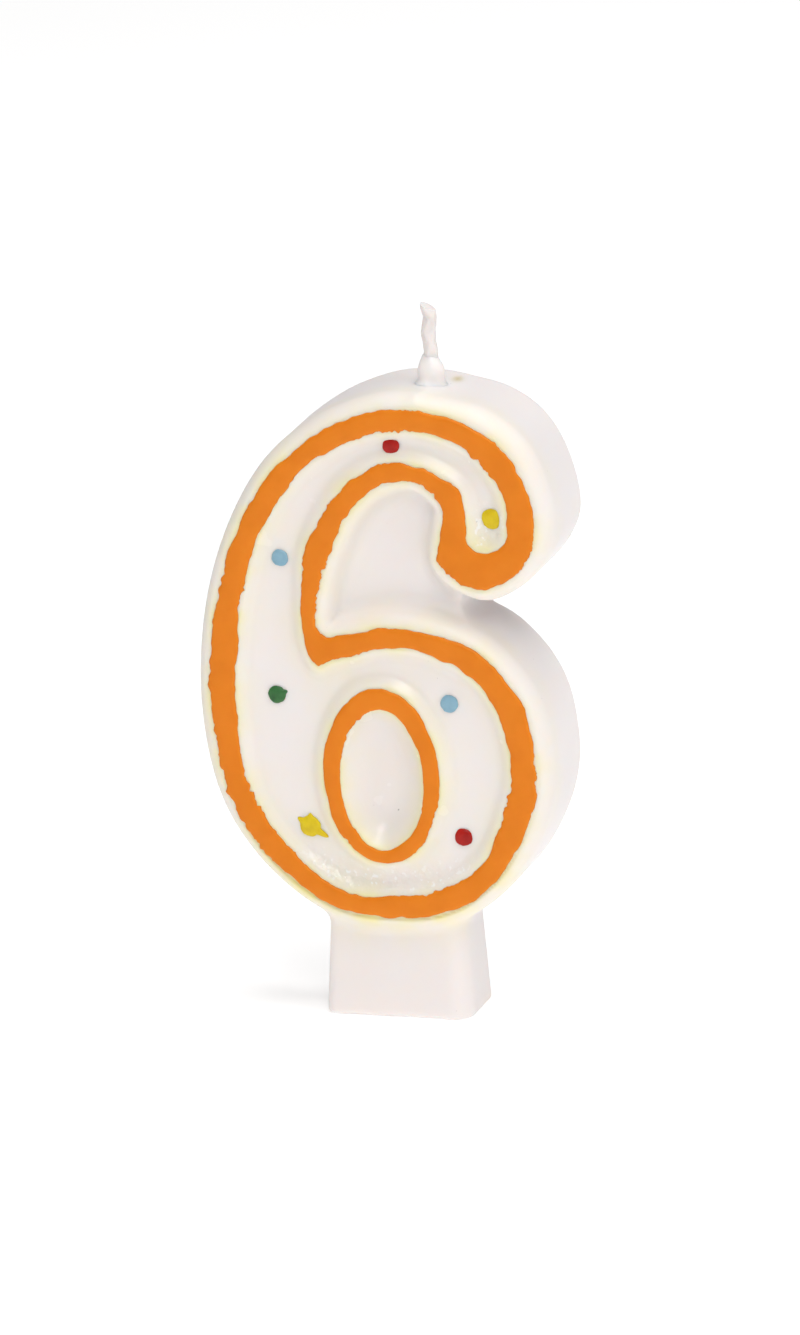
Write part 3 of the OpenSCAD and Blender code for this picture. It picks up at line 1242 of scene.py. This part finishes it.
@dataclass
class Wick:
    """The waxed, braided wick, made by geometry nodes along the frame's own centreline.

    Attributes:
        finish: Its finish.
        plies: Lobes of its cross-section.
        twist: Turns of the plies over the whole wick.
        slant: Height of the slanted cut at its tip, as a share of the radius.
        foot: Height of its lower end.
        bend: Height up to which it is straight.
        thinnest: Its least radius.
    """

    finish: WaxedCotton
    plies: int = 3
    twist: float = 9.0
    slant: float = 0.5
    foot: float = 0.35
    bend: float = 72.0
    thinnest: float = 0.85

    def centreline(self) -> tuple[np.ndarray, np.ndarray]:
        """Centres and radii of the frame's wick, from its foot to its tip.

        Returns:
            The centres and the radii, in millimetres.
        """
        points = np.array([v.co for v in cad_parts["wick"].data.vertices]) / MM
        points = np.unique(points.round(3), axis=0)
        heights, counts = np.unique(points[:, 2].round(2), return_counts=True)
        rings = [points[np.abs(points[:, 2] - h) < 0.02] for h in heights[counts >= 10]]
        rings.append(points[np.argsort(points[:, 2])[-12:]])
        centres = np.array([(ring.min(0) + ring.max(0)) / 2 for ring in rings])
        radii = np.array([np.ptp(ring[:, 0]) / 2 for ring in rings])
        keep = np.r_[True, centres[1:, 2] > 60]
        centres, radii = centres[keep], radii[keep]
        centres[0, 2] = self.foot
        straight = np.linspace(self.foot, self.bend, 120)
        bent = np.linspace(self.bend + 0.2, points[:, 2].max() - 0.02, 70)
        heights = np.r_[straight, bent]
        line = np.stack([np.interp(heights, centres[:, 2], centres[:, k]) for k in (0, 1)] + [heights], 1)
        return line, np.maximum(np.interp(line[:, 2], centres[:, 2], radii), self.thinnest)

    def tree(self) -> bpy.types.NodeTree:
        """The geometry nodes: a lobed section twisted along the wick, with a slanted tip.

        Returns:
            The node tree.
        """
        tree = bpy.data.node_groups.new("braided_wick", "GeometryNodeTree")
        maker = NodeMaker(tree)
        given = maker.given(("Plies", "Twist", "Slant"), "Cotton")
        tube = maker.tube(given["Geometry"], maker.add("GeometryNodeInputPosition").outputs[0], 40, True)
        middle = maker.named("middle")
        along, thick = (Value(maker, maker.named(name, "FLOAT")) for name in ("along", "thick"))
        x, y, _ = maker.parts(maker.named("section"))
        angle = maker.number("ShaderNodeMath", {"operation": "ARCTAN2"}, {0: y, 1: x})
        turn = along * given["Twist"] * (2 * math.pi)
        lobe, cross = (((angle + way) * given["Plies"]).cosine() for way in (turn * -1.0, turn))
        ply = lobe.most(cross) * 0.5 + 0.5
        coat = along.step(0.86, 0.93)
        lump = maker.noise(middle, 1.7, 1, 3.0) * 0.16 - 0.08
        tip = along.step(0.975, 1.0)
        swell = thick * (ply * (0.16 - coat * 0.07) + 0.90 + lump * coat + tip * 0.12)
        drop = (x + 1.0) * tip * thick * given["Slant"] * -1.0
        spot = maker.vector("ADD", middle, maker.joined(x * swell, y * swell, drop))
        maker.end(maker.store(tube, "ply", ply, "FLOAT"), spot, given["Cotton"])
        return tree

    def build(self) -> bpy.types.Object:
        """Builds and dresses the wick.

        Returns:
            The finished piece.
        """
        line, radii = self.centreline()
        count = len(line)
        mesh = mesh_from("wick_line", line, edges=[(i, i + 1) for i in range(count - 1)])
        hold(mesh, "thick", radii * MM)
        hold(mesh, "along", (line[:, 2] - line[0, 2]) / np.ptp(line[:, 2]))
        sizes = {"Plies": float(self.plies), "Twist": self.twist, "Slant": self.slant}
        inputs = sizes | {"Cotton": self.finish.material()}
        return run_nodes("braided_wick", mesh, self.tree(), inputs)


@dataclass
class WickSeal:
    """The drop of wax that has run round the wick's foot.

    Attributes:
        body: The body, whose top it clings to.
        finish: Its finish.
        profile: Pairs of radius and height above the body's surface.
        sides: Points round it.
        rows: Points up it.
    """

    body: WaxBody
    finish: CastWax
    profile: tuple[tuple[float, float], ...] = (
        (1.9, -0.3),
        (1.88, -0.04),
        (1.7, 0.12),
        (1.53, 0.4),
        (1.47, 0.8),
        (1.52, 1.3),
        (1.46, 1.8),
        (1.26, 2.3),
        (1.04, 2.8),
        (0.84, 3.2),
        (0.6, 3.5),
    )
    sides: int = 64
    rows: int = 40

    def build(self) -> bpy.types.Object:
        """Builds and dresses the seal.

        Returns:
            The finished piece.
        """
        low, high = (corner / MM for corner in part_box("wick_seal"))
        centre = ((low.x + high.x) / 2, (low.y + high.y) / 2)
        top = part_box("wax_body")[1].z / MM
        knots = np.array(self.profile)
        fine = np.linspace(0, len(knots) - 1, self.rows)
        radius, height = (np.interp(fine, range(len(knots)), knots[:, k]) for k in (0, 1))
        kernel = np.array([1, 2, 3, 2, 1]) / 9
        radius = np.convolve(np.pad(radius, 2, "edge"), kernel, "valid")[:, None]
        height = height[:, None]
        turn = 2 * np.pi * np.arange(self.sides) / self.sides
        lump = 1 + 0.05 * np.sin(2 * turn + 0.6 * height) + 0.04 * np.cos(3 * turn + 1.1 * height)
        lean = 0.10 * np.sin(1.2 * height)
        x = centre[0] + lean + radius * lump * np.cos(turn)
        y = centre[1] + radius * lump * np.sin(turn)
        cling = 1 - eased(height, 0.3, 1.4)
        under = self.body.top_at(x.ravel(), y.ravel()).reshape(x.shape)
        z = under * cling + top * (1 - cling) + height
        ends = [(centre[0] + lean[k, 0] * (k != 0), centre[1], top + height[k, 0]) for k in (0, -1)]
        points = np.concatenate([np.stack([x, y, z], -1).reshape(-1, 3), ends])
        n, last, foot = self.sides, (self.rows - 1) * self.sides, self.rows * self.sides
        faces = [
            (r * n + i, r * n + (i + 1) % n, (r + 1) * n + (i + 1) % n, (r + 1) * n + i)
            for r in range(self.rows - 1)
            for i in range(n)
        ]
        faces += [(foot, (i + 1) % n, i) for i in range(n)]
        faces += [(foot + 1, last + i, last + (i + 1) % n) for i in range(n)]
        mesh = mesh_from("wick_seal_wax", points, faces)
        face_outwards(mesh)
        for name in ("dye", "stain", "crinkle_and_glint", "polish"):
            hold(mesh, name, np.full(len(mesh.vertices), float(name == "polish")))
        mesh.materials.append(self.finish.material())
        return as_object("wick_seal_wax", mesh)


# ---------------------------------------------------------------- the studio


@dataclass
class Studio:
    """The camera, the floor and the lights.

    Attributes:
        azimuth: The camera's angle to the right of the front, in degrees.
        elevation: Its angle above the horizon.
        roll: How far the picture is turned clockwise about the view.
        distance: Its distance in metres.
        lens: Its focal length in millimetres on a 36 mm sensor.
        aim: The point that it looks at, in metres.
    """

    azimuth: float = 17.0
    elevation: float = 16.0
    roll: float = 2.0
    distance: float = 1.5
    lens: float = 349.1
    aim: tuple[float, float, float] = (-0.000215, 0.000861, 0.040591)

    def camera(self) -> None:
        """Places the camera."""
        a, e = math.radians(self.azimuth), math.radians(self.elevation)
        back = Vector((math.sin(a) * math.cos(e), -math.cos(a) * math.cos(e), math.sin(e)))
        turn = (-back).to_track_quat("-Z", "Y").to_matrix() @ Matrix.Rotation(math.radians(-self.roll), 3, "Z")
        data = bpy.data.cameras.new("camera")
        data.lens = self.lens
        data.sensor_width = 36.0
        data.clip_end = 20.0
        camera = bpy.data.objects.new("camera", data)
        camera.matrix_world = Matrix.Translation(Vector(self.aim) + back * self.distance) @ turn.to_4x4()
        bpy.context.scene.collection.objects.link(camera)
        bpy.context.scene.camera = camera

    def floor(self) -> None:
        """Lays the pale floor."""
        reach = 4000
        points = [(-reach, -reach, 0), (reach, -reach, 0), (reach, reach, 0), (-reach, reach, 0)]
        mesh = mesh_from("floor", np.array(points), [(0, 1, 2, 3)])
        mesh.materials.append(Backdrop("floor", (0.93, 0.93, 0.93), 0.9, glow=0.36).material())
        as_object("floor", mesh)

    def lamp(self, name: str, place: tuple[float, float, float], size: float, power: float) -> None:
        """Adds a square soft light aimed at the candle.

        Args:
            name: Its name.
            place: Where it hangs, in metres.
            size: Its side.
            power: Its power in watts.
        """
        data = bpy.data.lights.new(name, "AREA")
        data.shape = "SQUARE"
        data.size = size
        data.energy = power
        light = bpy.data.objects.new(name, data)
        aim = Vector(self.aim) - Vector(place)
        light.matrix_world = Matrix.Translation(place) @ aim.to_track_quat("-Z", "Y").to_matrix().to_4x4()
        bpy.context.scene.collection.objects.link(light)

    def build(self) -> None:
        """Sets up the whole studio."""
        self.camera()
        self.floor()
        world = bpy.data.worlds.new("studio")
        world.use_nodes = True
        sky = world.node_tree.nodes["Background"].inputs
        sky["Color"].default_value = (1.0, 0.985, 0.98, 1.0)
        sky["Strength"].default_value = 0.26
        bpy.context.scene.world = world
        bpy.context.scene.view_settings.view_transform = "Standard"
        self.lamp("key", (0.25, -0.85, 0.80), 0.45, 3.8)
        self.lamp("top", (0.20, 0.00, 1.20), 0.90, 7.6)
        self.lamp("side", (0.75, -0.25, 0.80), 0.40, 1.2)
        self.lamp("glint", (0.20, -0.40, 0.88), 0.10, 0.6)


def main() -> None:
    """Builds the candle and its studio, and puts every piece on its body."""
    logging.basicConfig(level=logging.INFO, format="%(name)s: %(message)s")
    Studio().build()
    relief = Relief()
    white = CastWax("body_wax", (0.85, 0.805, 0.795), 0.22, 1.4)
    drip = CastWax("seal_wax", (0.90, 0.86, 0.84), 0.3, 1.2)
    orange = DyedWax("orange_wax", (0.79, 0.235, 0.012), 0.45, 0.4, 1.25, 0.0, (0.74, 0.212, 0.009))
    red = DyedWax("red_wax", (0.47, 0.014, 0.008), 0.3, 0.3, 1.3, 0.0, (0.34, 0.009, 0.006), 1.0)
    yellow = DyedWax("yellow_wax", (0.74, 0.57, 0.015), 0.3, 0.4, 1.3, 0.0, (0.64, 0.47, 0.012), 1.0)
    blue = DyedWax("blue_wax", (0.28, 0.47, 0.58), 0.3, 0.4, 1.3, 0.0, (0.23, 0.40, 0.51), 1.0)
    green = DyedWax("green_wax", (0.055, 0.19, 0.06), 0.3, 0.3, 1.3, 0.0, (0.035, 0.12, 0.04), 1.0)
    cotton = WaxedCotton("wick_cotton", (0.84, 0.79, 0.77), 0.45, 0.6)
    body = WaxBody(relief, white)
    pulled = (Tail(-30, 1.25), Tail(148, 0.55), Tail(88, 0.35))
    makers = {
        "wax_body": body,
        "wick": Wick(cotton),
        "wick_seal": WickSeal(body, drip),
        "digit_outline": WaxLine(Place.STROKE, relief.stroke, orange),
        "counter_outline": WaxLine(Place.COUNTER, relief.counter, orange, wander=0.3, seed=11.0),
        "red_dot_top": WaxDrop("red_dot_top", body, red, 1.0),
        "yellow_dot_hook": WaxDrop("yellow_dot_hook", body, yellow, 12.0),
        "blue_dot_left": WaxDrop("blue_dot_left", body, blue, 3.0),
        "green_dot_left": WaxDrop("green_dot_left", body, green, 4.0, (Tail(20, 0.35),)),
        "yellow_dot_low": WaxDrop("yellow_dot_low", body, yellow, 5.0, pulled),
        "blue_dot_right": WaxDrop("blue_dot_right", body, blue, 6.0),
        "red_dot_low": WaxDrop("red_dot_low", body, red, 7.0),
    }
    for node, maker in makers.items():
        piece = maker.build()
        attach(piece, BODY)
        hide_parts(node)
        LOG.info("%s: %d faces, stands for %s", piece.name, len(piece.data.polygons), node)


if __name__ == "__main__":
    main()
